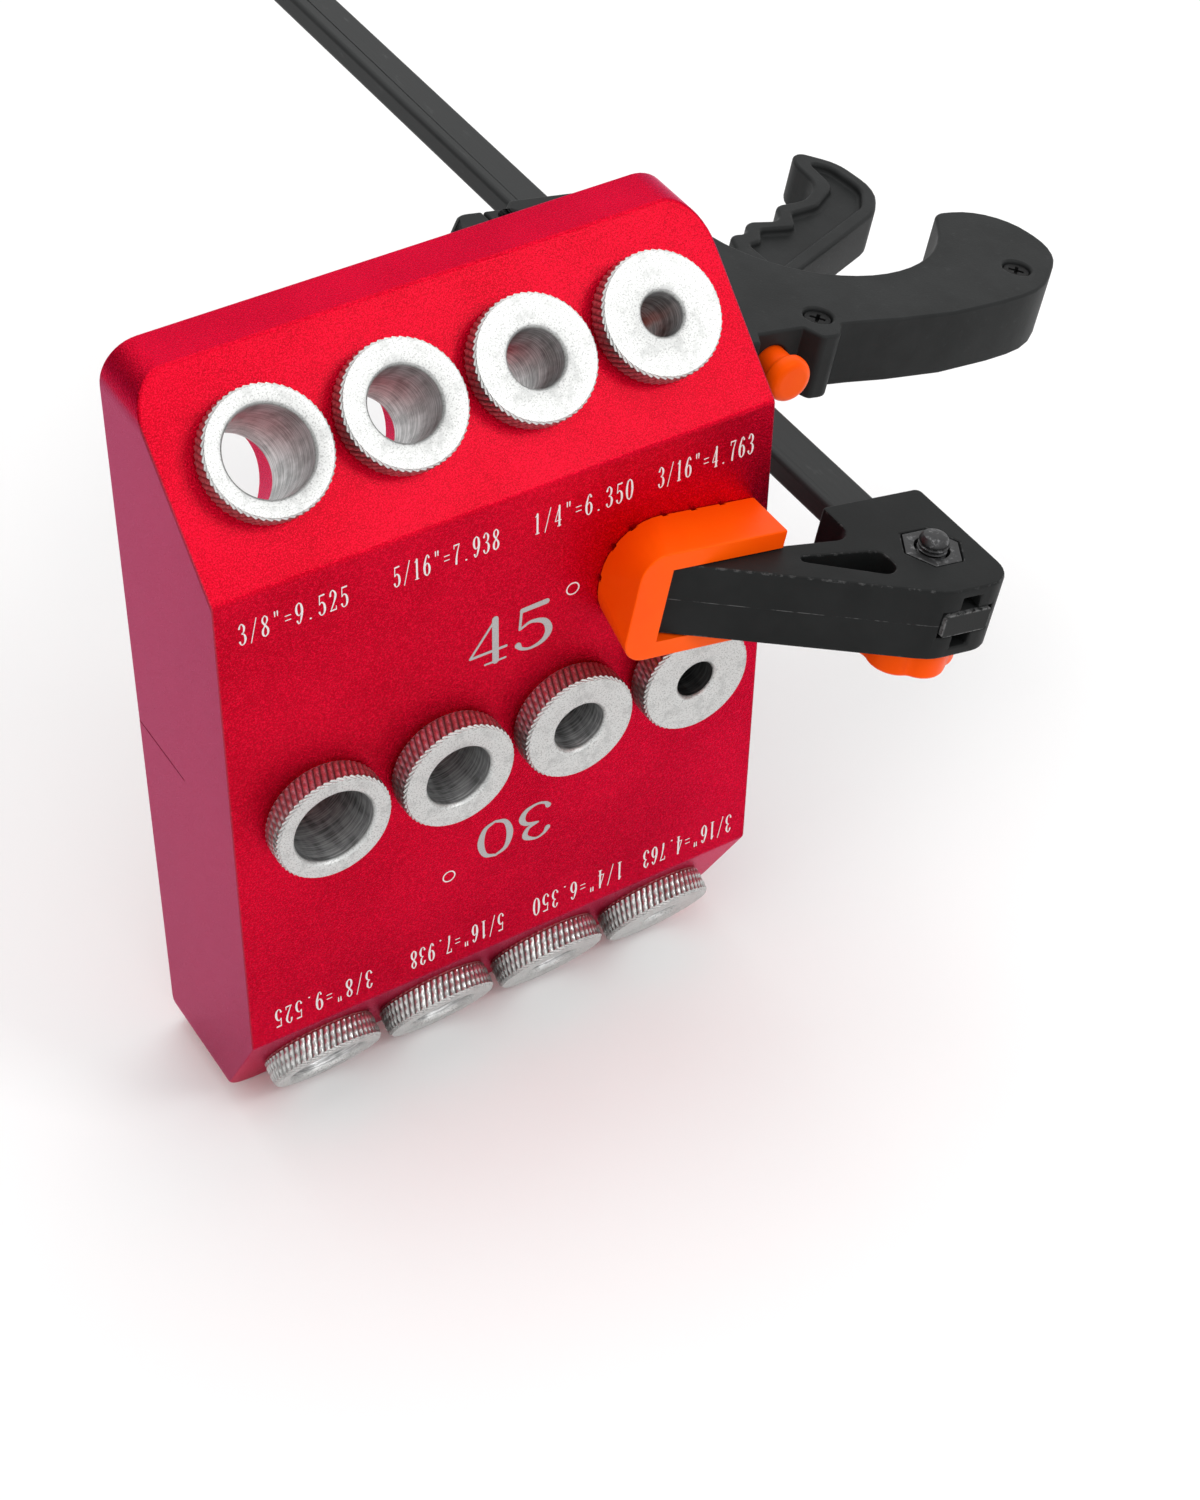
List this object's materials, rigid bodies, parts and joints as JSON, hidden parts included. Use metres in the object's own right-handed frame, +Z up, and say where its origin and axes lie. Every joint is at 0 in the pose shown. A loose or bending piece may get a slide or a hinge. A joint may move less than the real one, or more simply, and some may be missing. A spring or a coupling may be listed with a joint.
{
  "type": "angle drill guide",
  "caption": "Angle drill guide block with steel bushings at 45, 90 and 30 degrees, held by a small one-handed trigger bar clamp.",
  "frame": {"origin": "middle of the flat lower end face that the block stands on", "axes": "+X across the block towards the clamp's bar, +Y from the block's front face to its back, along the bar, +Z up the block"},
  "size_m": [0.1418, 0.1759, 0.1],
  "materials": {
    "block_red": "fine blasted, crimson anodised aluminium",
    "bushing_steel": "turned and ground tool steel with knurled rims",
    "bar_steel": "satin black steel",
    "black_plastic": "fine-grained moulded nylon",
    "orange_plastic": "soft moulded plastic with a light sheen",
    "black_screw": "black oxide steel",
    "plain_steel": "plain zinc plated steel"
  },
  "bodies": {
    "guide": {"guide_block": "block_red", "bushing_45_three_eighths": "bushing_steel", "bushing_45_five_sixteenths": "bushing_steel", "bushing_45_quarter": "bushing_steel", "bushing_45_three_sixteenths": "bushing_steel", "bushing_90_three_eighths": "bushing_steel", "bushing_90_five_sixteenths": "bushing_steel", "bushing_90_quarter": "bushing_steel", "bushing_90_three_sixteenths": "bushing_steel", "bushing_30_three_eighths": "bushing_steel", "bushing_30_five_sixteenths": "bushing_steel", "bushing_30_quarter": "bushing_steel", "bushing_30_three_sixteenths": "bushing_steel"},
    "clamp_bar": {"bar": "bar_steel", "bar_stop_pin": "bar_steel", "fixed_jaw": "black_plastic", "front_pad": "orange_plastic", "jaw_nut": "black_screw"},
    "jaw_screw": {"jaw_bolt": "black_screw", "jaw_knob": "orange_plastic"},
    "sliding_jaw": {"moving_jaw": "black_plastic", "side_cover": "black_plastic", "cover_screws": "black_screw", "rear_pad": "orange_plastic", "trigger_pin": "plain_steel", "drive_spring": "plain_steel", "brake_spring": "plain_steel"},
    "trigger": {"trigger": "black_plastic"},
    "drive_plate": {"drive_plate": "plain_steel"},
    "release_button": {"release_button": "orange_plastic"},
    "brake_plate": {"brake_plate": "plain_steel"}
  },
  "joints": [
    {"name": "clamp_slide", "type": "slide", "parent": "guide", "child": "clamp_bar", "axis": [1, 0, 0], "range_m": [0, 0.038]},
    {"name": "jaw_screw_turn", "type": "hinge", "parent": "clamp_bar", "child": "jaw_screw", "pos_m": [0.0469, -0.02801, 0.0605], "axis": [0.1994, 0, 0.9799], "range_deg": [0, 360]},
    {"name": "jaw_slide", "type": "slide", "parent": "clamp_bar", "child": "sliding_jaw", "axis": [0, 1, 0], "range_m": [0, 0.068]},
    {"name": "trigger_squeeze", "type": "hinge", "parent": "sliding_jaw", "child": "trigger", "pos_m": [0.05768, 0.03159, 0.05831], "axis": [-0.1994, 0, -0.9799], "range_deg": [0, 11], "stiffness_Nm_per_rad": 0.25, "springref_deg": -5.73},
    {"name": "drive_plate_slide", "type": "slide", "parent": "sliding_jaw", "child": "drive_plate", "axis": [0, 1, 0], "range_m": [0, 0.00102], "deforming": ["drive_spring"]},
    {"name": "button_press", "type": "slide", "parent": "sliding_jaw", "child": "release_button", "axis": [0, 1, 0], "range_m": [0, 0.0016], "stiffness_N_per_m": 400, "springref_m": -0.0005},
    {"name": "brake_tilt", "type": "hinge", "parent": "sliding_jaw", "child": "brake_plate", "pos_m": [0.03955, 0.02261, 0.062], "axis": [0.1994, 0, 0.9799], "range_deg": [0, 5.3], "deforming": ["brake_spring"]}
  ],
  "couplings": [
    {"joint": "drive_plate_slide", "follows": "trigger_squeeze", "m_per_rad": 0.0053},
    {"joint": "brake_tilt", "follows": "button_press", "rad_per_m": 53}
  ]
}
